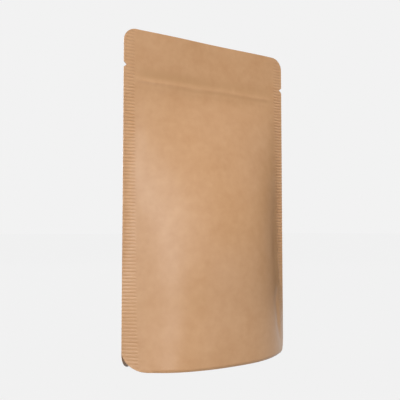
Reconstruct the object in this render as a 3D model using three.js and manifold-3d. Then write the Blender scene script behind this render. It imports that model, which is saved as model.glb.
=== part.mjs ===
// A filled stand-up pouch of kraft paper laminate, shut by its press-to-close zip.
// Millimetres, +Z up. The origin is on the floor under the middle of the pouch, and the front faces -Y.
// The webs are heat-sealed into one piece: a flat header with the zip's ridge, ribbed side seals with tear
// notches, a body that swells towards the foot, and a bottom gusset that stands on a thin curved skirt.
import * as THREE from "three";
import { mergeVertices } from "three/addons/utils/BufferGeometryUtils.js";
import Module from "manifold-3d";

// Outline of the flat pouch.
const WIDTH = 120;
const HEIGHT = 200;
const TOP_CORNER_RADIUS = 8;
const FOOT_CORNER_RADIUS = 11.5;
const HALF_WIDTH = WIDTH / 2;

// One web of laminate, and the ribbed side seal that welds the front web to the back one.
const WEB = 0.4;
const SEAL_WIDTH = 7;
const RIB_PITCH = 2;
const RIB_SWING = 0.14;
const SEAL_EDGE = HALF_WIDTH - SEAL_WIDTH;

// Press-to-close zip: a ridge on a low flange, both pressed out from inside.
const ZIP_Z = 169.5;
const ZIP_RIDGE = 0.7;
const ZIP_RIDGE_HALF_WIDTH = 1.6;
const ZIP_FLANGE = 0.25;
const ZIP_FLANGE_HALF_WIDTH = 6.5;
const ZIP_FLANGE_TAPER = 1.5;
const ZIP_END_TAPER = 4;

// Tear notches beside the header.
const NOTCH_Z = 177.7;
const NOTCH_DEPTH = 2;
const NOTCH_MOUTH = 3.2;
const NOTCH_TIP_RADIUS = 0.6;
const NOTCH_FLARE = 0.7;

// The filled body: half its depth at the belly and at the foot, and where it starts below the zip. Across the
// front, the slope grows evenly from the middle to the turn, and fades over the seal to the pouch's edge.
// From LENS_TOP_Z down to the floor, that section turns into the open foot's lens.
const BODY_TOP_Z = 164.5;
const BELLY_Z = 45;
const BELLY_HALF_DEPTH = 25;
const BELLY_POWER = 1.5;
const FOOT_HALF_DEPTH = 26;
const TURN_X = 50.5;
const BACK_POWER = 2.6;
const FOOT_POWER = 2.58;
const LENS_TOP_Z = 100;
const LENS_POWER = 1.5;

// Bottom gusset: its fold meets the side seals at the apex, and its front and back edges are sealed into a
// skirt, low in the middle and rising to the apex at the sides.
const APEX_Z = 36;
const SKIRT_HEIGHT = 6;
const SKIRT_THICKNESS = 2 * WEB;
const SKIRT_RISE_POWER = 2.2;
const LEG_OPENING_POWER = 1.3;
const LEAST_GAP = 0.6;

// How finely the surfaces are cut.
const BODY_COLUMNS = 18;
const BODY_ROWS = 32;
const ZIP_ROWS = 8;
const ZIP_ROW_REACH = 3;
const SEAL_COLUMNS = 2;
const RECESS_COLUMNS = 22;
const RECESS_ROWS = 6;
const LEG_COLUMNS = 3;
const ARC_STEPS = 8;
const CUT_REACH = 40;

const clamp = (value, low, high) => Math.min(high, Math.max(low, value));

// Half the body's depth on its middle line: nothing at the zip, most at the belly and below it.
function bellyDepth(z) {
  const up = clamp((z - BELLY_Z) / (BODY_TOP_Z - BELLY_Z), 0, 1);
  return BELLY_HALF_DEPTH * (1 - up * up) ** BELLY_POWER;
}

// How far the gusset has parted the feet at a height: 0 at its apex, 1 on the floor.
const footShare = (z) => clamp(1 - z / APEX_Z, 0, 1) ** LEG_OPENING_POWER;

// The open foot's outline: a lens that closes at the pouch's edges.
const footLens = (x) => 1 - clamp(Math.abs(x) / HALF_WIDTH, 0, 1) ** FOOT_POWER;

// How far the front web stands out from the flat sealed webs. Its section is a parabola in the middle, and a
// second one, turned over, from the turn to the pouch's edge, so the side seal bends forwards with the body.
// Towards the floor it turns into the open foot's lens.
function frontSwelling(x, z) {
  const off = Math.abs(x);
  const middle = 1 - off ** 2 / (HALF_WIDTH * TURN_X);
  const side = (HALF_WIDTH - off) ** 2 / (HALF_WIDTH * (HALF_WIDTH - TURN_X));
  const turned = clamp(1 - z / LENS_TOP_Z, 0, 1) ** LENS_POWER;
  const section = (1 - turned) * (off < TURN_X ? middle : side) + turned * footLens(x);
  const share = footShare(z);
  return (1 - share) * bellyDepth(z) * section + share * FOOT_HALF_DEPTH * footLens(x);
}

// The depth of the filling between the webs: none in the seals, and a lens in the open foot.
function filling(x, z) {
  const across = clamp(Math.abs(x) / SEAL_EDGE, 0, 1);
  const share = footShare(z);
  const belly = bellyDepth(z) * (1 - across ** BACK_POWER);
  return 2 * ((1 - share) * belly + share * FOOT_HALF_DEPTH * footLens(x));
}

// How far the back web stands out behind: the filling's depth, less what the front web takes.
const backSwelling = (x, z) => filling(x, z) - frontSwelling(x, z);

// The zip's ridge and flange, which fade out into the side seals.
function zipRelief(x, z) {
  const end = clamp((SEAL_EDGE - Math.abs(x)) / ZIP_END_TAPER, 0, 1);
  const ridge = ZIP_RIDGE * Math.exp(-(((z - ZIP_Z) / ZIP_RIDGE_HALF_WIDTH) ** 2));
  const flange = ZIP_FLANGE * clamp((ZIP_FLANGE_HALF_WIDTH - Math.abs(z - ZIP_Z)) / ZIP_FLANGE_TAPER, 0, 1);
  return end * (ridge + flange);
}

// The outer faces' distance from the flat pouch's middle plane, in front and behind.
const frontOut = (x, z) => WEB + frontSwelling(x, z) + zipRelief(x, z);
const backOut = (x, z) => WEB + backSwelling(x, z) + zipRelief(x, z);

// Evenly spaced values from low to high, both ends included.
const spaced = (low, high, steps) =>
  Array.from({ length: steps + 1 }, (_, i) => low + ((high - low) * i) / steps);

// A closed slab between a front and a back surface over a grid of columns and rows.
// shape(x, row) gives the front's y, the back's y and the height z.
function slab(columns, rows, shape) {
  const positions = [];
  const index = [];
  const last = { i: columns.length - 1, j: rows.length - 1 };
  for (const x of columns)
    for (const row of rows) {
      const [front, back, z] = shape(x, row);
      positions.push(x, front, z, x, back, z);
    }
  const front = (i, j) => 2 * (i * rows.length + j);
  const back = (i, j) => front(i, j) + 1;
  const quad = (a, b, c, d) => index.push(a, b, c, a, c, d);
  for (let i = 0; i < last.i; i++) {
    for (let j = 0; j < last.j; j++) {
      quad(front(i, j), front(i + 1, j), front(i + 1, j + 1), front(i, j + 1));
      quad(back(i, j), back(i, j + 1), back(i + 1, j + 1), back(i + 1, j));
    }
    quad(front(i, 0), back(i, 0), back(i + 1, 0), front(i + 1, 0));
    quad(front(i, last.j), front(i + 1, last.j), back(i + 1, last.j), back(i, last.j));
  }
  for (let j = 0; j < last.j; j++) {
    quad(front(0, j), front(0, j + 1), back(0, j + 1), back(0, j));
    quad(front(last.i, j), back(last.i, j), back(last.i, j + 1), front(last.i, j + 1));
  }
  const geometry = new THREE.BufferGeometry();
  geometry.setAttribute("position", new THREE.Float32BufferAttribute(positions, 3));
  geometry.setIndex(index);
  return geometry;
}

const wasm = await Module();
wasm.setup();

// A three.js geometry as a manifold-3d solid.
function solid(geometry) {
  geometry.deleteAttribute("normal");
  geometry.deleteAttribute("uv");
  const merged = mergeVertices(geometry, 1e-4);
  return new wasm.Manifold(
    new wasm.Mesh({
      numProp: 3,
      vertProperties: merged.attributes.position.array,
      triVerts: new Uint32Array(merged.index.array),
    }),
  );
}

// A manifold-3d solid as a three.js geometry with flat faces.
function geometryOf(made) {
  const mesh = made.getMesh();
  const indexed = new THREE.BufferGeometry();
  indexed.setAttribute("position", new THREE.BufferAttribute(mesh.vertProperties, 3));
  indexed.setIndex(new THREE.BufferAttribute(mesh.triVerts, 1));
  const geometry = indexed.toNonIndexed();
  geometry.computeVertexNormals();
  return geometry;
}

// The rows of the body: closer together over the zip, and even below it.
function bodyRows() {
  const flat = ZIP_FLANGE_HALF_WIDTH - ZIP_FLANGE_TAPER;
  const below = spaced(0, ZIP_Z - ZIP_FLANGE_HALF_WIDTH, BODY_ROWS);
  const over = spaced(ZIP_Z - ZIP_ROW_REACH, ZIP_Z + ZIP_ROW_REACH, ZIP_ROWS);
  const above = [ZIP_Z + flat, ZIP_Z + ZIP_FLANGE_HALF_WIDTH, HEIGHT];
  return [...below, ZIP_Z - flat, ...over, ...above];
}

// The columns of the body crowd towards the side seals, where the section turns fastest.
const bodyColumns = () =>
  spaced(-1, 1, BODY_COLUMNS).map((t) => SEAL_EDGE * Math.sin((t * Math.PI) / 2));

// The front and back webs between the side seals, with the contents between them.
function body() {
  const shape = (x, z) => [-frontOut(x, z), backOut(x, z), z];
  return solid(slab(bodyColumns(), bodyRows(), shape));
}

// The rows of a ribbed strip: two for each rib, on its crest and in its valley.
function ribRows(low, high) {
  const step = RIB_PITCH / 2;
  const first = Math.ceil(low / step + 0.01);
  const rows = [low];
  for (let n = first; n * step < high - 0.2; n++) rows.push(n * step);
  return [...rows, high];
}

// Heat-sealed webs bent into ribs by the sealing jaws: front and back swing together.
const ribSwing = (z) => RIB_SWING * Math.cos((2 * Math.PI * z) / RIB_PITCH);

// One side seal: welded above the apex, and parting into a front and a back leg below it.
function sideSeal(side) {
  const shape = (x, z) => [-frontOut(x, z) - ribSwing(z), backOut(x, z) - ribSwing(z), z];
  const columns = spaced(SEAL_EDGE, HALF_WIDTH, SEAL_COLUMNS).map((x) => side * x);
  return solid(slab(side > 0 ? columns : columns.reverse(), ribRows(0, HEIGHT), shape));
}

// The height of the skirt's upper edge, where the gusset leaves it.
const skirtTop = (x) =>
  SKIRT_HEIGHT + (APEX_Z - SKIRT_HEIGHT) * clamp(Math.abs(x) / SEAL_EDGE, 0, 1) ** SKIRT_RISE_POWER;

// The height below which the front and back legs of a side seal stand clear of each other, found by halving.
function legTop(x) {
  let low = 0;
  let high = APEX_Z;
  for (let step = 0; step < 20; step++) {
    const middle = (low + high) / 2;
    if (frontOut(x, middle) + backOut(x, middle) > 2 * SKIRT_THICKNESS + LEAST_GAP) low = middle;
    else high = middle;
  }
  return low;
}

// The columns of the hollow: like the body's between the side seals, and even within each seal.
function recessColumns() {
  const inner = spaced(-1, 1, RECESS_COLUMNS).map((t) => SEAL_EDGE * Math.sin((t * Math.PI) / 2));
  const leg = spaced(SEAL_EDGE, HALF_WIDTH - 1, LEG_COLUMNS).slice(1);
  return [...leg.map((x) => -x).reverse(), ...inner, ...leg];
}

// The hollow under the pouch: between the skirts, up to the gusset, and into the parted legs.
function recess() {
  const columns = recessColumns();
  const shape = (x, t) => {
    const z = -1 + (Math.min(skirtTop(x), legTop(x)) + 1) * t;
    const front = frontOut(x, Math.max(z, 0)) - SKIRT_THICKNESS;
    const back = backOut(x, Math.max(z, 0)) - SKIRT_THICKNESS;
    return [-front, Math.max(back, LEAST_GAP - front), z];
  };
  return solid(slab(columns, spaced(0, 1, RECESS_ROWS), shape));
}

// A cutter that runs through the pouch from front to back, from an outline in x and z.
function throughCut(outline) {
  const geometry = new THREE.ExtrudeGeometry(new THREE.Shape(outline), {
    depth: 2 * CUT_REACH,
    bevelEnabled: false,
  });
  geometry.rotateX(Math.PI / 2);
  geometry.translate(0, CUT_REACH, 0);
  return solid(geometry);
}

// What rounding takes off one corner of the flat pouch. side and end are 1 or -1: right or left, top or foot.
function cornerCut(side, end, radius) {
  const edgeZ = end > 0 ? HEIGHT : 0;
  const centre = [HALF_WIDTH - radius, edgeZ - end * radius];
  const arc = spaced(0, Math.PI / 2, ARC_STEPS).map(
    (a) =>
      new THREE.Vector2(
        side * (centre[0] + radius * Math.cos(a)),
        centre[1] + end * radius * Math.sin(a),
      ),
  );
  const beyond = 2;
  return throughCut([
    ...arc,
    new THREE.Vector2(side * centre[0], edgeZ + end * beyond),
    new THREE.Vector2(side * (HALF_WIDTH + beyond), edgeZ + end * beyond),
    new THREE.Vector2(side * (HALF_WIDTH + beyond), centre[1]),
  ]);
}

// A tear notch: a short V with a round tip.
function notchCut(side) {
  const tip = spaced(-Math.PI / 2, Math.PI / 2, 4).map(
    (a) =>
      new THREE.Vector2(
        side * (HALF_WIDTH - NOTCH_DEPTH + NOTCH_TIP_RADIUS * (1 - Math.cos(a))),
        NOTCH_Z + NOTCH_TIP_RADIUS * Math.sin(a),
      ),
  );
  const beyond = 1;
  const flare = NOTCH_MOUTH / 2 + beyond * NOTCH_FLARE;
  return throughCut([
    ...tip,
    new THREE.Vector2(side * (HALF_WIDTH + beyond), NOTCH_Z + flare),
    new THREE.Vector2(side * (HALF_WIDTH + beyond), NOTCH_Z - flare),
  ]);
}

// The whole pouch: body and side seals in one piece, less the hollow, the round corners and the notches.
function pouch() {
  let made = body().add(sideSeal(1)).add(sideSeal(-1)).subtract(recess());
  for (const side of [1, -1])
    made = made
      .subtract(cornerCut(side, 1, TOP_CORNER_RADIUS))
      .subtract(cornerCut(side, -1, FOOT_CORNER_RADIUS))
      .subtract(notchCut(side));
  return made;
}

const kraft = new THREE.MeshStandardMaterial({ color: "#c69c72", roughness: 0.6, metalness: 0 });
const mesh = new THREE.Mesh(geometryOf(pouch()), kraft);
mesh.name = "pouch";

const root = new THREE.Group();
root.add(mesh);
export default root;
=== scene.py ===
"""A filled stand-up pouch of plain kraft paper laminate, dressed around its solid.

Metres, +Z up, front to -Y. The pouch's surfaces are worked out in millimetres."""
import math

import bpy
import numpy as np
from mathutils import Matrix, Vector


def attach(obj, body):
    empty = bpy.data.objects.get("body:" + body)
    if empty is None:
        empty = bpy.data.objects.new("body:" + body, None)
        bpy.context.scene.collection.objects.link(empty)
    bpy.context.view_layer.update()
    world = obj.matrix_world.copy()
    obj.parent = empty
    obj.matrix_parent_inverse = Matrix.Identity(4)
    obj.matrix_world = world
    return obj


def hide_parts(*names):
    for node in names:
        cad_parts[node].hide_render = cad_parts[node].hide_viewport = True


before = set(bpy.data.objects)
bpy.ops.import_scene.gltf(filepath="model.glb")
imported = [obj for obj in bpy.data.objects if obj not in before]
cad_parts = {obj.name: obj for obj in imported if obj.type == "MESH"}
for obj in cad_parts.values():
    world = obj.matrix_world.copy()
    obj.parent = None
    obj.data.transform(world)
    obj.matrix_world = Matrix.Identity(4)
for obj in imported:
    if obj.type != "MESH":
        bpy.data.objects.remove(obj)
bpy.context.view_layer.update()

# Camera
# The photograph's viewpoint: left of the front, a little below half the pouch's height, looking slightly up
# through a normal lens.
MM = 0.001
CAMERA_PLACE = Vector((-193.3, -295.6, 80.0)) * MM
CAMERA_YAW = math.radians(32.21)
CAMERA_PITCH = math.radians(3.14)
CAMERA_LENS_MM, CAMERA_SENSOR_MM = 50, 36
CAMERA_NEAR, CAMERA_FAR = 0.01, 100

scene = bpy.context.scene
camera = bpy.data.objects.new("camera", bpy.data.cameras.new("camera"))
camera.data.lens = CAMERA_LENS_MM
camera.data.sensor_width = CAMERA_SENSOR_MM
camera.data.clip_start = CAMERA_NEAR
camera.data.clip_end = CAMERA_FAR
camera.location = CAMERA_PLACE
camera.rotation_euler = (math.pi / 2 + CAMERA_PITCH, 0, -CAMERA_YAW)
scene.collection.objects.link(camera)
scene.camera = camera

# Front web
# The front panel of the pouch: one sheet of kraft paper laminated to clear film, cut with round corners and
# tear notches, heat-sealed to the back web along both sides by ribbed jaws, and swollen by the filling. The
# zip's profile behind it shows as a thin ridge, with shade painted into the paper's colour above and below
# it.
WIDTH, HEIGHT = 120.0, 200.0
HALF_WIDTH = WIDTH / 2
WEB = 0.25
SEAL_WIDTH = 7.0
SEAL_EDGE = HALF_WIDTH - SEAL_WIDTH
TOP_CORNER_RADIUS, FRONT_FOOT_RADIUS = 8.0, 10.5


def smooth_step(value, low, high):
    """0 below low and 1 above high, with the cubic 3t^2 - 2t^3 between."""
    t = np.clip((value - low) / (high - low), 0, 1)
    return t * t * (3 - 2 * t)


def plateau(value, rise, fall):
    """1 between a smooth step up over rise and one down over fall, and 0 outside them."""
    return smooth_step(value, *rise) * (1 - smooth_step(value, *fall))


def bell(value, centre, reach):
    """A bump of height 1 along a line: exp(-d^2), with d the distance from its centre in units of reach."""
    return np.exp(-(((value - centre) / reach) ** 2))


def mound(x, z, centre, reach):
    """A round bump of height 1: one bell across times one bell up."""
    return bell(x, centre[0], reach[0]) * bell(z, centre[1], reach[1])


# The body is deepest at the belly and ends below the zip.
BELLY_Z, BODY_TOP_Z = 45.0, 164.5
BELLY_HALF_DEPTH, BELLY_FALL_POWER = 25.0, 1.5


def belly_depth(z):
    """The filled body's half depth on its middle line: the belly's times (1 - u^2)^p, with u from 0 at the
    belly to 1 below the zip."""
    up = np.clip((z - BELLY_Z) / (BODY_TOP_Z - BELLY_Z), 0, 1)
    return BELLY_HALF_DEPTH * (1 - up**2) ** BELLY_FALL_POWER


# The gusset holds the foot open, and its fold meets the seals at its apex.
APEX_Z, LEG_OPENING_POWER = 36.0, 1.3
FOOT_HALF_DEPTH, FOOT_POWER = 26.0, 2.58


def foot_share(z):
    """How far the gusset has parted the feet at a height: (1 - u)^p, with u from 0 on the floor to 1 at its
    apex."""
    return np.clip(1 - z / APEX_Z, 0, 1) ** LEG_OPENING_POWER


def foot_lens(x):
    """The open foot's outline: a lens, 1 - s^p, that closes at the pouch's edges."""
    return 1 - np.clip(np.abs(x) / HALF_WIDTH, 0, 1) ** FOOT_POWER


# Across the front, the slope grows from the middle to the turn, and fades over the seal to its edge. The turn
# lies further in towards the foot, more so on the right, and the middle is flatter on the right. Each turn is
# its x at the foot, its x at the top, and the heights between which it moves.
LEFT_TURN = (51.0, 54.5, (75, 125))
RIGHT_TURN = (46.5, 51.5, (45, 125))
LEFT_SECTION_POWER, RIGHT_SECTION_POWER = 2.0, 2.7
# Below this height the section turns into the foot's lens.
LENS_TOP_Z, LENS_POWER = 100.0, 1.5


def turn_line(z, foot_x, top_x, heights):
    """Where one side's turn lies: a smooth step from its x at the foot to its x at the top."""
    return foot_x + (top_x - foot_x) * smooth_step(z, *heights)


def front_swelling(x, z):
    """How far the front web stands out from the flat sealed webs.

    Its section is 1 - a x^p in the middle, and a parabola turned over, b (w - x)^2, from the turn to the
    pouch's edge, with a and b such that both meet there in height and slope, so the side seal bends forwards
    with the body. Towards the floor it turns into the open foot's lens."""
    off = np.clip(np.abs(x), 0, HALF_WIDTH)
    turn = np.where(x > 0, turn_line(z, *RIGHT_TURN), turn_line(z, *LEFT_TURN))
    power = np.where(x > 0, RIGHT_SECTION_POWER, LEFT_SECTION_POWER)
    fall = 1 / (turn**power + power * turn ** (power - 1) * (HALF_WIDTH - turn) / 2)
    middle = 1 - fall * off**power
    side = fall * power * turn ** (power - 1) * (HALF_WIDTH - off) ** 2 / (2 * (HALF_WIDTH - turn))
    lens = foot_lens(x)
    turned = np.clip(1 - z / LENS_TOP_Z, 0, 1) ** LENS_POWER
    section = (1 - turned) * np.where(off < turn, middle, side) + turned * lens
    share = foot_share(z)
    return (1 - share) * belly_depth(z) * section + share * FOOT_HALF_DEPTH * lens


# The steps across the seals' edges fade between these distances from the middle. Each has its height, the z
# where it is highest, and its reach up and down.
SEAL_STEP_X = (45, 58)
LEFT_STEP, LEFT_STEP_Z, LEFT_STEP_REACH = 0.65, 138, 28
RIGHT_STEP, RIGHT_STEP_Z, RIGHT_STEP_REACH = 0.8, 150, 20
# The valley along the right seal: its depth, x and half width, and the heights over which it starts and ends.
VALLEY_DEPTH, VALLEY_X, VALLEY_HALF_WIDTH = 0.5, 56, 3
VALLEY_START_Z, VALLEY_END_Z = (20, 50), (95, 125)


def seal_bend(x, z):
    """What bends the seals with the body: a step down across each seal's edge in the upper half, where the
    body is fuller than its plain form, and a bell-shaped valley along the right seal beside the belly."""
    step = 1 - smooth_step(np.abs(x), *SEAL_STEP_X)
    left = LEFT_STEP * step * bell(z, LEFT_STEP_Z, LEFT_STEP_REACH)
    right = RIGHT_STEP * step * bell(z, RIGHT_STEP_Z, RIGHT_STEP_REACH)
    valley = VALLEY_DEPTH * bell(x, VALLEY_X, VALLEY_HALF_WIDTH) * plateau(z, VALLEY_START_Z, VALLEY_END_Z)
    return np.where(x > 0, right - valley, left)


# The fold above the right foot: its depth, x and half width, how far its line leans out on the floor and the
# height where that begins, and the heights over which the fold starts and ends.
FOLD_DEPTH, FOLD_X, FOLD_HALF_WIDTH = 1.8, 47, 3.5
FOLD_LEAN, FOLD_LEAN_Z = 6, 20
FOLD_START_Z, FOLD_END_Z = (0, 22), (32, 46)


def foot_fold(x, z):
    """The soft fold at the right foot, where the gusset's seal pulls the web in: a bell-shaped valley across
    a line that leans towards the corner near the floor, by the square of the height still to go."""
    line = FOLD_X + FOLD_LEAN * np.clip(1 - z / FOLD_LEAN_Z, 0, 1) ** 2
    return -FOLD_DEPTH * bell(x, line, FOLD_HALF_WIDTH) * plateau(z, FOLD_START_Z, FOLD_END_Z)


def foot_edge(x):
    """The height of the front web's lower edge: the floor's, and up a circle arc at each round corner."""
    corner = np.clip(np.abs(x) - (HALF_WIDTH - FRONT_FOOT_RADIUS), 0, FRONT_FOOT_RADIUS)
    return FRONT_FOOT_RADIUS - np.sqrt(FRONT_FOOT_RADIUS**2 - corner**2)


# The lower edge's flare and the hem's curl: how far, up to which height, and the x over which each ends. The
# hollow at the left foot: its depth, place and reach.
FLARE, FLARE_Z, FLARE_END_X = 1.2, 15, (-42, -20)
HEM_CURL, HEM_HEIGHT, HEM_END_X = 0.8, 2.0, (44, 54)
HOLLOW_DEPTH, HOLLOW_PLACE, HOLLOW_REACH = 0.6, (-49, 25), (12, 11)


def body_dents(x, z):
    """How the filling presses the front out of its plain form: the seals' bend, the fold at the right foot, a
    hollow at the left one, a flare at the left of the lower edge, and a hem that curls in between its
    corners. Flare and hem grow downwards by the square of the height still to go."""
    flare = FLARE * np.clip(1 - z / FLARE_Z, 0, 1) ** 2 * (1 - smooth_step(x, *FLARE_END_X))
    hem = HEM_CURL * np.clip(1 - (z - foot_edge(x)) / HEM_HEIGHT, 0, 1) ** 2
    hem = hem * (1 - smooth_step(np.abs(x), *HEM_END_X))
    hollow = HOLLOW_DEPTH * mound(x, z, HOLLOW_PLACE, HOLLOW_REACH)
    return seal_bend(x, z) + foot_fold(x, z) + flare - hem - hollow


# The filling thins out towards the seals with this power of the distance from the middle.
FILLING_POWER = 2.6


def filling(x, z):
    """The depth of the filling between the webs: twice the belly's half depth times 1 - s^p, none in the
    seals, and below the apex passing into the open foot's lens."""
    across = np.clip(np.abs(x) / SEAL_EDGE, 0, 1)
    share = foot_share(z)
    belly = belly_depth(z) * (1 - across**FILLING_POWER)
    return 2 * ((1 - share) * belly + share * FOOT_HALF_DEPTH * foot_lens(x))


def back_swelling(x, z):
    """How far the back web stands out behind: the filling's depth less what the front web takes."""
    return filling(x, z) - front_swelling(x, z)


def inside_seals(x, fade):
    """0 on the side seals and 1 from fade inside their edges, with a smooth step between."""
    return smooth_step(SEAL_EDGE - np.abs(x), 0, fade)


ZIP_Z = 169.5
# The zip's wander: each wave's height, its length for one radian, and its start in radians.
ZIP_WANDER = [(0.35, 17.0, 0.6), (0.2, 6.3, 0.0)]
# The zip's left half was pressed harder. That ends between these x.
ZIP_CHANGE_X = (-14, 10)


def zip_line(x):
    """The height of the zip's crest, which wanders by a fraction of a millimetre in two sine waves."""
    return ZIP_Z + sum(height * np.sin(x / length + start) for height, length, start in ZIP_WANDER)


def zip_left(x):
    """1 in the zip's left half and 0 in its right half, with a smooth step between."""
    return 1 - smooth_step(x, *ZIP_CHANGE_X)


# The painted shade's band above the crest, where the hollow above the zip lies in shade: where it starts and
# ends, its tone, and what the left half adds to that.
BAND_START, BAND_END = (0.6, 4.0), (4.5, 10.5)
BAND_TONE, BAND_LEFT_TONE = 0.3, 0.35
# The painted shade's line below the crest, under the ridge: its tone, how far below, its half width, and the
# x over which it starts.
LINE_TONE, LINE_BELOW, LINE_HALF_WIDTH, LINE_START_X = 0.45, 1.6, 1.0, (-44, -20)
# How far inside the seals' edges the painted shade beside the zip fades in.
PAINTED_SHADE_FADE = 8


def zip_painted_shade(x, z):
    """Where shade is painted into the paper's colour beside the zip, 0 to 1: a band above the ridge, where
    the hollow above it lies in shade, more so in the left half, and a thin bell-shaped line below it, the
    shade under the ridge."""
    above = z - zip_line(x)
    band = plateau(above, BAND_START, BAND_END) * (BAND_TONE + BAND_LEFT_TONE * zip_left(x))
    line = LINE_TONE * bell(above, -LINE_BELOW, LINE_HALF_WIDTH) * smooth_step(x, *LINE_START_X)
    return (band + line) * inside_seals(x, PAINTED_SHADE_FADE)


ZIP_RIDGE, ZIP_RIDGE_HALF_WIDTH, ZIP_RIDGE_FADE = 0.2, 1.0, 5
# The share of the ridge that shows where the film is slack, and what each tight place adds there: its share
# and its x.
ZIP_SLACK = 0.5
ZIP_TIGHT = [(0.5, -44), (0.35, 34)]
ZIP_TIGHT_REACH = (14, 50)


def zip_relief(x, z):
    """The zip's ridge, a bell across its line that ends at the seals. It shows most at the left and near the
    right end, where the film is drawn tight over it."""
    tight = ZIP_SLACK + sum(more * mound(x, z, (place, ZIP_Z), ZIP_TIGHT_REACH) for more, place in ZIP_TIGHT)
    ridge = ZIP_RIDGE * tight * bell(z, zip_line(x), ZIP_RIDGE_HALF_WIDTH)
    return ridge * inside_seals(x, ZIP_RIDGE_FADE)


# The hollow above the zip: its depth, the shares of it at the right and added at the left, and where it
# starts and ends above the crest. The header's wave: its height, length for one radian and start.
HEADER_HOLLOW, HEADER_HOLLOW_RIGHT, HEADER_HOLLOW_LEFT = 0.2, 0.55, 0.45
HEADER_HOLLOW_START, HEADER_HOLLOW_END = (0.0, 3.2), (3.2, 10.0)
HEADER_WAVE, HEADER_WAVE_LENGTH, HEADER_WAVE_START = 0.3, 11.0, 0.95
HEADER_WAVE_Z = (174, 190)
HEADER_FADE = 6


def header_dents(x, z):
    """The soft hollow drawn in just above the zip, deeper in its left half, and a slack sine wave that grows
    towards the top edge."""
    above = z - zip_line(x)
    along = HEADER_HOLLOW_RIGHT + HEADER_HOLLOW_LEFT * zip_left(x)
    hollow = HEADER_HOLLOW * along * plateau(above, HEADER_HOLLOW_START, HEADER_HOLLOW_END)
    wave = HEADER_WAVE * np.sin(x / HEADER_WAVE_LENGTH + HEADER_WAVE_START) * smooth_step(z, *HEADER_WAVE_Z)
    return -(hollow + wave) * inside_seals(x, HEADER_FADE)


# The ribs: pitch, swing, the power that rounds their crests, the share of the swing that lies behind the
# web's own face, and where they start and are full beside the seal's edge.
RIB_PITCH, RIB_SWING, RIB_CREST_POWER, RIB_SUNK = 2.0, 0.17, 0.7, 0.6
RIB_START = (-0.05, 0.35)
# How deep the jaws pressed, as shares of the swing: at the foot, below the zip and in the header, then the
# heights over which the first changes to the second, and the second to the third.
LEFT_PRESS = ((1.0, 1.65, 1.15), (70, 150), (160, 180))
RIGHT_PRESS = ((0.9, 2.4, 1.4), (30, 110), (168, 182))


def jaw_press(z, depths, lower, upper):
    """How deep one jaw pressed at a height: three depths with a smooth step from each to the next."""
    foot, middle, header = depths
    return foot + (middle - foot) * smooth_step(z, *lower) + (header - middle) * smooth_step(z, *upper)


def rib_swing(x, z):
    """The jaws' ribs on both seals: rounded crests with narrow grooves, |sin|^p of the height. The jaws have
    pressed deepest in the upper half, below the zip, and the right-hand one more so."""
    wave = np.abs(np.sin(np.pi * z / RIB_PITCH)) ** RIB_CREST_POWER - RIB_SUNK
    on_seal = smooth_step(np.abs(x) - SEAL_EDGE, *RIB_START)
    pressed = np.where(x > 0, jaw_press(z, *RIGHT_PRESS), jaw_press(z, *LEFT_PRESS))
    return RIB_SWING * wave * on_seal * pressed


# The tear notches: height, depth and mouth, the tip's radius, and how far it is rounded off at that radius.
NOTCH_Z, NOTCH_DEPTH, NOTCH_MOUTH = 177.7, 2.0, 3.2
NOTCH_TIP_RADIUS, NOTCH_TIP_ROUNDING = 0.6, 0.15


def half_width(z, foot_radius):
    """Half the web's width at a height: less at the round corners, by circle arcs, and at the notches, by a
    wedge whose tip is a parabola."""
    above = np.clip(z - (HEIGHT - TOP_CORNER_RADIUS), 0, TOP_CORNER_RADIUS)
    below = np.clip(foot_radius - z, 0, foot_radius)
    width = HALF_WIDTH - TOP_CORNER_RADIUS + np.sqrt(TOP_CORNER_RADIUS**2 - above**2)
    width = width - foot_radius + np.sqrt(foot_radius**2 - below**2)
    off = np.abs(z - NOTCH_Z)
    slant = NOTCH_DEPTH * (1 - off / (NOTCH_MOUTH / 2))
    tip = np.minimum(slant, NOTCH_DEPTH - NOTCH_TIP_ROUNDING * (off / NOTCH_TIP_RADIUS) ** 2)
    return width - np.clip(tip, 0, NOTCH_DEPTH)


# Where the rows of points cut one rib: its groove at 0, its crest in the middle. More rows lie this far below
# the top edge, for its round corners, and at these shares of a notch's half mouth.
RIB_PHASES = np.array([0.0, 0.13, 0.3, 0.5, 0.7, 0.87])
TOP_ROWS = np.array([0.0, 0.04, 0.16])
NOTCH_ROWS = np.array([-1.0, -0.5, -0.2, 0.2, 0.5, 1.0])
LEAST_ROW_GAP = 0.03


def web_rows():
    """The heights of the rows of points: six to each rib, and closer together in the round top corners and
    the notches."""
    ribs = np.arange(int(HEIGHT / RIB_PITCH))[:, None] + RIB_PHASES[None, :]
    rows = (ribs * RIB_PITCH).ravel()
    corners = HEIGHT - TOP_ROWS
    notch = NOTCH_Z + NOTCH_ROWS * NOTCH_MOUTH / 2
    rows = np.unique(np.round(np.concatenate([rows, corners, notch]), 3))
    keep = np.concatenate([[True], np.diff(rows) > LEAST_ROW_GAP])
    return rows[keep]


BODY_COLUMNS, SEAL_COLUMNS = 36, 7
# Two more columns close to the seal's edge, where the ribs begin, as shares of the seal's width.
RIB_START_COLUMNS = [0.045, 0.09]
LEAST_SEAL_WIDTH = 1.0


def web_grid(foot_radius):
    """x and z of a web's points, (rows, columns): the body's columns crowd towards the seals by a sine, and
    the seals' are even."""
    z = web_rows()[:, None]
    outer = half_width(z, foot_radius)
    inner = np.minimum(SEAL_EDGE, outer - LEAST_SEAL_WIDTH)
    t = np.sin(np.linspace(-1, 1, BODY_COLUMNS + 1) * np.pi / 2)[None, :]
    seal_t = np.concatenate([RIB_START_COLUMNS, np.linspace(0, 1, SEAL_COLUMNS + 1)[1:]])[None, :]
    left = -(inner + (outer - inner) * seal_t[:, ::-1])
    right = inner + (outer - inner) * seal_t
    x = np.concatenate([left, inner * t, right], axis=1)
    return x, z + 0 * x


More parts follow.
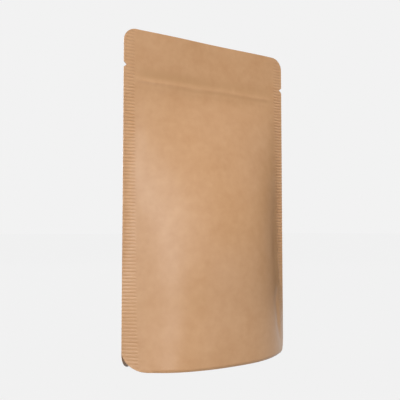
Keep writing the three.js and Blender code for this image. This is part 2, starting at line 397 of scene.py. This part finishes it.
def offset_inwards(points, distance):
    """Each point of a grid moved against the surface's normal, the cross product of its two directions, but
    not below the floor."""
    along = np.gradient(points, axis=1)
    up = np.gradient(points, axis=0)
    normal = np.cross(along, up)
    normal /= np.maximum(np.linalg.norm(normal, axis=2, keepdims=True), 1e-9)
    moved = points - normal * distance
    moved[..., 2] = np.maximum(moved[..., 2], 0)
    return moved


# Edges that turn by more than this are shaded as sharp.
SHARP_ANGLE = math.radians(55)


def shell(name, outer, inner):
    """A closed shell between two grids of points in millimetres, joined by a strip of quads at their
    borders. Seen from outside, the outer grid's columns run to the right and its rows run up."""
    rows, columns = outer.shape[:2]
    count = rows * columns
    points = np.concatenate([outer.reshape(-1, 3), inner.reshape(-1, 3)]) * MM
    index = np.arange(count).reshape(rows, columns)
    outside = np.stack([index[:-1, :-1], index[:-1, 1:], index[1:, 1:], index[1:, :-1]], -1).reshape(-1, 4)
    border = np.concatenate([index[0, :-1], index[:-1, -1], index[-1, :0:-1], index[:0:-1, 0]])
    after = np.roll(border, -1)
    rim = np.stack([after, border, border + count, after + count], -1)
    quads = np.concatenate([outside, outside[:, ::-1] + count, rim])
    mesh = bpy.data.meshes.new(name)
    mesh.vertices.add(len(points))
    mesh.vertices.foreach_set("co", points.ravel())
    mesh.loops.add(quads.size)
    mesh.loops.foreach_set("vertex_index", quads.ravel())
    mesh.polygons.add(len(quads))
    mesh.polygons.foreach_set("loop_start", np.arange(len(quads)) * 4)
    mesh.polygons.foreach_set("loop_total", np.full(len(quads), 4))
    mesh.polygons.foreach_set("use_smooth", np.ones(len(quads), bool))
    mesh.update(calc_edges=True)
    mesh.set_sharp_from_angle(angle=SHARP_ANGLE)
    piece = bpy.data.objects.new(name, mesh)
    scene.collection.objects.link(piece)
    return piece


def mark_painted_shade(web, points):
    """Gives each point of a web its share of the shade painted beside the zip, which the web's material
    reads.
    """
    share = zip_painted_shade(points[..., 0], points[..., 2]).ravel()
    painted_shade = web.data.attributes.new("zip_painted_shade", "FLOAT", "POINT")
    painted_shade.data.foreach_set("value", np.concatenate([share, share]))


def linear(hex_colour):
    """An sRGB hex colour as linear red, green, blue and alpha."""
    value = [int(hex_colour[i : i + 2], 16) / 255 for i in (1, 3, 5)]
    return [c / 12.92 if c <= 0.04045 else ((c + 0.055) / 1.055) ** 2.4 for c in value] + [1.0]


def add_node(material, kind, links=(), **settings):
    """Adds a node of that kind. settings are its attributes or its inputs' values, with _ for a space, and
    links pairs an input's name or number with another node's output socket."""
    node = material.node_tree.nodes.new(kind)
    for key, value in settings.items():
        if hasattr(node, key):
            setattr(node, key, value)
        else:
            node.inputs[key.replace("_", " ")].default_value = value
    for socket, source in links:
        material.node_tree.links.new(source, node.inputs[socket])
    return node


# Kraft paper under a matt film: unbleached brown pulp with long fibres. The pulp's clouds and fibres give the
# mottled tan, the film over it a soft, wide highlight, and shade painted beside the zip a darker tone.
KRAFT_LIGHT, KRAFT_DARK = "#d3a57a", "#c8976a"
# The fibres' colour, and the darker colour of the shade painted beside the zip.
KRAFT_FIBRE, KRAFT_PAINTED_SHADE = "#a97c50", "#c49668"
# The sizes of the clouds and of the mottle in them, and the fibres' length, and how many times that is their
# width. Real fibres are a few hundredths of a millimetre wide, and are drawn coarser here so that they show.
CLOUD_MM, MOTTLE_MM, FIBRE_MM = 16.0, 5.0, 1.1
FIBRE_SLENDERNESS = 5.0
# The noise values that make the darkest and lightest pulp, those between which a fibre appears, and its tone.
PULP_LOW, PULP_HIGH = 0.6, 1.4
FIBRE_LOW, FIBRE_HIGH, FIBRE_TONE = 0.62, 0.8, 0.16
GRAIN_HEIGHT_MM, WAVE_HEIGHT_MM = 0.03, 0.5
FILM_ROUGHNESS, FILM_IOR = 0.36, 1.48
# A Mix node's numbers for its two colours and for their mixture.
MIX_FROM, MIX_TO, MIXED = 6, 7, 2


def kraft_material(name):
    """The laminate's material: clouds, mottle and fibres in its colour, darker where shade is painted beside
    the zip, and a fine paper grain on low waves in its bump."""
    material = bpy.data.materials.new(name)
    material.use_nodes = True
    material.node_tree.nodes.clear()
    place = add_node(material, "ShaderNodeTexCoord").outputs["Object"]
    clouds = add_node(material, "ShaderNodeTexNoise", [("Vector", place)],
                      Scale=1000 / CLOUD_MM, Detail=3.0, Roughness=0.55)
    mottle = add_node(material, "ShaderNodeTexNoise", [("Vector", place)],
                      Scale=1000 / MOTTLE_MM, Detail=4.0, Roughness=0.6)
    stretched = add_node(material, "ShaderNodeMapping", [("Vector", place)],
                         Scale=(1.0, 1.0, FIBRE_SLENDERNESS))
    fibres = add_node(material, "ShaderNodeTexNoise", [("Vector", stretched.outputs["Vector"])],
                      Scale=1000 / FIBRE_MM, Detail=2.0, Roughness=0.5, Distortion=1.2)
    blend = add_node(material, "ShaderNodeMath", [(0, clouds.outputs["Fac"]), (1, mottle.outputs["Fac"])],
                     operation="ADD")
    level = add_node(material, "ShaderNodeMapRange", [("Value", blend.outputs["Value"])],
                     From_Min=PULP_LOW, From_Max=PULP_HIGH)
    pulp = add_node(material, "ShaderNodeMix", [("Factor", level.outputs["Result"])], data_type="RGBA")
    pulp.inputs[MIX_FROM].default_value = linear(KRAFT_DARK)
    pulp.inputs[MIX_TO].default_value = linear(KRAFT_LIGHT)
    strands = add_node(material, "ShaderNodeMapRange", [("Value", fibres.outputs["Fac"])],
                       From_Min=FIBRE_LOW, From_Max=FIBRE_HIGH, To_Max=FIBRE_TONE)
    paper = add_node(material, "ShaderNodeMix",
                     [("Factor", strands.outputs["Result"]), (MIX_FROM, pulp.outputs[MIXED])],
                     data_type="RGBA")
    paper.inputs[MIX_TO].default_value = linear(KRAFT_FIBRE)
    # Painted shade beside the zip: the paper turns darker where the web's point attribute marks it.
    painted_shade = add_node(material, "ShaderNodeAttribute", attribute_name="zip_painted_shade")
    painted_shade_mix = add_node(material, "ShaderNodeMix",
                      [("Factor", painted_shade.outputs["Fac"]), (MIX_FROM, paper.outputs[MIXED])],
                      data_type="RGBA")
    painted_shade_mix.inputs[MIX_TO].default_value = linear(KRAFT_PAINTED_SHADE)
    grain = add_node(material, "ShaderNodeBump", [("Height", fibres.outputs["Fac"])],
                     Strength=0.15, Distance=GRAIN_HEIGHT_MM * MM)
    waves = add_node(material, "ShaderNodeBump",
                     [("Height", clouds.outputs["Fac"]), ("Normal", grain.outputs["Normal"])],
                     Strength=0.35, Distance=WAVE_HEIGHT_MM * MM)
    shader = add_node(material, "ShaderNodeBsdfPrincipled",
                      [("Base Color", painted_shade_mix.outputs[MIXED]), ("Normal", waves.outputs["Normal"])],
                      Roughness=FILM_ROUGHNESS, IOR=FILM_IOR)
    add_node(material, "ShaderNodeOutputMaterial", [("Surface", shader.outputs["BSDF"])])
    return material


kraft = kraft_material("kraft_paper_laminate")
# Each web's shell is this much thinner than the web, so that the two webs' inner faces don't touch.
PLY_GAP = 0.01


def front_surface():
    """The front web's outer points: y is minus the web's thickness, the swelling and the reliefs on it."""
    x, z = web_grid(FRONT_FOOT_RADIUS)
    out = WEB + front_swelling(x, z) + body_dents(x, z) + rib_swing(x, z)
    return np.stack([x, -out - zip_relief(x, z) - header_dents(x, z), z], -1)


front_points = front_surface()
front_web = shell("front_web", front_points, offset_inwards(front_points, WEB - PLY_GAP))
front_web.data.materials.append(kraft)
mark_painted_shade(front_web, front_points)
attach(front_web, "root")
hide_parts("pouch")

# Back web
# The panel behind, of the same laminate, sealed to the front web's edges. Its bottom corners are cut a
# little sharper, so that they show past the front's.
BACK_FOOT_RADIUS = 9.0
# It takes on the seals' bend over this width inside their edges.
BACK_BEND_FADE = 1.0


def back_surface():
    """The back web's outer points: y is the web's thickness, the back's swelling and the zip's relief. In the
    seals it bends and is ribbed with the front web. Its columns are turned round, so that they face +Y."""
    x, z = web_grid(BACK_FOOT_RADIUS)
    in_seal = smooth_step(np.abs(x), SEAL_EDGE - BACK_BEND_FADE, SEAL_EDGE)
    out = WEB + back_swelling(x, z) + zip_relief(-x, z) - rib_swing(x, z) - in_seal * seal_bend(x, z)
    return np.stack([x, out, z], -1)[:, ::-1]


back_points = back_surface()
back_web = shell("back_web", back_points, offset_inwards(back_points, WEB - PLY_GAP))
back_web.data.materials.append(kraft)
mark_painted_shade(back_web, back_points)
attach(back_web, "root")
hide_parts("pouch")

# Gusset
# The bottom sheet, folded once and sealed inside the feet of both webs, so that it opens into a floor. It
# lines each skirt up to its arc, and hangs between the arcs under the weight of the filling.
GUSSET_THICKNESS = 0.15
# It lies this far inside the webs, and reaches this far to each side.
GUSSET_INSET, GUSSET_REACH = 0.1, 57.5
SKIRT_HEIGHT, SKIRT_RISE_POWER = 6.0, 2.2
# The skirt's lining starts this far above the web's edge, and its arc stays at least this far above it.
SKIRT_START, LEAST_ARC = 0.15, 0.4
# The arc stays below the height where the parted legs close to this gap, and the sheet between the arcs is at
# least this wide.
LEAST_LEG_GAP, LEAST_SPAN = 0.25, 0.05
# The sag, its most as a share of the arc's height, and the spans over which it grows. The fold's crease: its
# height, its half width, and the spans over which it grows.
SAG, SAG_SHARE, SAG_SPAN = 3.0, 0.6, (0, 16)
CREASE_HEIGHT, CREASE_HALF_WIDTH, CREASE_SPAN = 0.5, 1.5, (0, 12)
SKIRT_ROWS, FLOOR_ROWS, GUSSET_COLUMNS = 8, 28, 96


def gusset_surface():
    """The gusset's under side: up the inside of the front skirt, across to the back arc, and down again.

    The arc's height is the skirt's, plus a rise as |x|^p to the apex, and falls again in the parted legs. The
    sheet between the arcs sags as a parabola, with a low bell-shaped crease along its fold."""
    x = np.sin(np.linspace(-1, 1, GUSSET_COLUMNS + 1) * np.pi / 2) * GUSSET_REACH
    rise = SKIRT_HEIGHT + (APEX_Z - SKIRT_HEIGHT) * np.clip(np.abs(x) / SEAL_EDGE, 0, 1) ** SKIRT_RISE_POWER
    parted = np.clip(LEAST_LEG_GAP / np.maximum(FOOT_HALF_DEPTH * foot_lens(x), LEAST_LEG_GAP), 0, 1)
    legs = APEX_Z * (1 - parted ** (1 / LEG_OPENING_POWER))
    foot = foot_edge(x)
    arc = np.maximum(np.minimum(rise, legs), foot + LEAST_ARC)
    up = np.linspace(0, 1, SKIRT_ROWS + 1)[:, None]
    skirt_z = foot + SKIRT_START + (arc - foot - SKIRT_START) * up
    t = np.linspace(0, 1, FLOOR_ROWS + 1)[1:-1, None]
    front_y = GUSSET_INSET - front_swelling(x, skirt_z) - body_dents(x, skirt_z)
    back_y = back_swelling(x, skirt_z) - GUSSET_INSET
    arc_front, arc_back = front_y[-1], back_y[-1]
    span = np.maximum(arc_back - arc_front, LEAST_SPAN)
    sag = np.minimum(SAG, SAG_SHARE * (arc - foot)) * smooth_step(span, *SAG_SPAN)
    crease = CREASE_HEIGHT * bell(t * span, span / 2, CREASE_HALF_WIDTH) * smooth_step(span, *CREASE_SPAN)
    floor_z = arc - sag * 4 * t * (1 - t) + crease
    y = np.concatenate([front_y, arc_front + span * t, back_y[::-1]])
    z = np.concatenate([skirt_z, floor_z, skirt_z[::-1]])
    return np.stack([x + 0 * y, y, z], -1)[::-1]


gusset_points = gusset_surface()
gusset_web = shell("gusset_web", gusset_points, offset_inwards(gusset_points, GUSSET_THICKNESS))
gusset_web.data.materials.append(kraft)
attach(gusset_web, "root")
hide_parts("pouch")

# Studio
# A pale floor that runs on into an even pale surround, and soft boxes on a sphere round the pouch: a broad
# bank at the left and front, weak fill at the right, a little light overhead, and strong light from behind.
STUDIO_GREY = "#f2f2f2"
FLOOR_HALF_SIZE, NEAR_FLOOR_HALF_SIZE = 12.0, 0.28
FLOOR_ALBEDO, FLOOR_GLOW, FLOOR_ROUGHNESS = 0.006, 0.985, 0.9
BANK_CENTRE = Vector((0, 0, 0.1))
BANK_RADIUS = 1.0
# Each box's azimuth from the front, positive to the right, and elevation, in degrees, then its side in metres
# and its power in watts. Most of the powers come from a least-squares fit to the shading in the photograph,
# and were then rounded and changed.
SOFT_BOXES = [
    # The bank at the left.
    (-72, 0, 0.62, 2.75), (-60, 13, 0.27, 1.01), (-45, 20, 0.27, 0.3), (-45, -2, 0.27, 0.35),
    # The bank in front.
    (-30, 13, 0.27, 1.54), (-30, -2, 0.27, 1.62), (-15, 28, 0.27, 1.44), (-15, 13, 0.27, 0.38),
    (0, 13, 0.27, 0.49), (15, 28, 0.27, 0.41), (15, -2, 0.27, 0.58), (30, -2, 0.27, 0.44),
    # The fill at the right.
    (45, -2, 0.27, 0.2), (60, -2, 0.27, 0.22), (60, 28, 0.27, 0.26), (80, 28, 0.27, 0.18),
    # Overhead, and a last weak one at the right.
    (60, 55, 0.5, 1.8), (0, 88, 0.5, 3.5), (90, 0, 0.3, 0.1),
    # Behind.
    (150, 20, 0.6, 3.2), (-150, 12, 0.7, 6.8), (-125, 5, 0.7, 1.5),
]


def studio_paint():
    """The floor's paint: nearly all self-lit, so that it keeps its tone under the lights."""
    material = bpy.data.materials.new("studio_floor_paint")
    material.use_nodes = True
    material.node_tree.nodes.clear()
    shader = add_node(material, "ShaderNodeBsdfPrincipled",
                      Base_Color=(FLOOR_ALBEDO, FLOOR_ALBEDO, FLOOR_ALBEDO, 1),
                      Roughness=FLOOR_ROUGHNESS, Specular_IOR_Level=0.0,
                      Emission_Color=linear(STUDIO_GREY), Emission_Strength=FLOOR_GLOW)
    add_node(material, "ShaderNodeOutputMaterial", [("Surface", shader.outputs["BSDF"])])
    return material


def floor_ring(name, inner, outer, paint):
    """The floor between two squares of these half sizes, as four quads, or as one where inner is 0. It throws
    no light on the pouch, and only the near floor, whose inner is 0, shows in the pouch's gloss."""
    corners = [(-1, -1), (1, -1), (1, 1), (-1, 1)]
    points = [(outer * x, outer * y, 0) for x, y in corners]
    faces = [(0, 1, 2, 3)]
    if inner:
        points += [(inner * x, inner * y, 0) for x, y in corners]
        faces = [(i, (i + 1) % 4, (i + 1) % 4 + 4, i + 4) for i in range(4)]
    mesh = bpy.data.meshes.new(name)
    mesh.from_pydata(points, [], faces)
    mesh.materials.append(paint)
    floor = bpy.data.objects.new(name, mesh)
    scene.collection.objects.link(floor)
    floor.visible_diffuse = False
    floor.visible_glossy = not inner


def soft_box(azimuth, elevation, size, power):
    """A square area light on the bank's sphere, facing its centre."""
    turn, rise = math.radians(azimuth), math.radians(elevation)
    towards = Vector((math.sin(turn) * math.cos(rise), -math.cos(turn) * math.cos(rise), math.sin(rise)))
    light = bpy.data.objects.new("soft_box", bpy.data.lights.new("soft_box", "AREA"))
    light.data.shape = "SQUARE"
    light.data.size = size
    light.data.energy = power
    light.visible_camera = False
    light.location = BANK_CENTRE + BANK_RADIUS * towards
    light.rotation_euler = (-towards).to_track_quat("-Z", "Y").to_euler()
    scene.collection.objects.link(light)


floor_paint = studio_paint()
floor_ring("studio_floor", 0, NEAR_FLOOR_HALF_SIZE, floor_paint)
floor_ring("studio_far_floor", NEAR_FLOOR_HALF_SIZE, FLOOR_HALF_SIZE, floor_paint)
for box in SOFT_BOXES:
    soft_box(*box)

# The surround is the backdrop's even tone, and throws no light on the pouch.
world = bpy.data.worlds.new("studio_surround")
scene.world = world
world.use_nodes = True
world.node_tree.nodes["Background"].inputs["Color"].default_value = linear(STUDIO_GREY)
world.node_tree.nodes["Background"].inputs["Strength"].default_value = 1.0
world.cycles_visibility.diffuse = False
world.cycles_visibility.glossy = False
scene.view_settings.view_transform = "Standard"
scene.view_settings.look = "None"
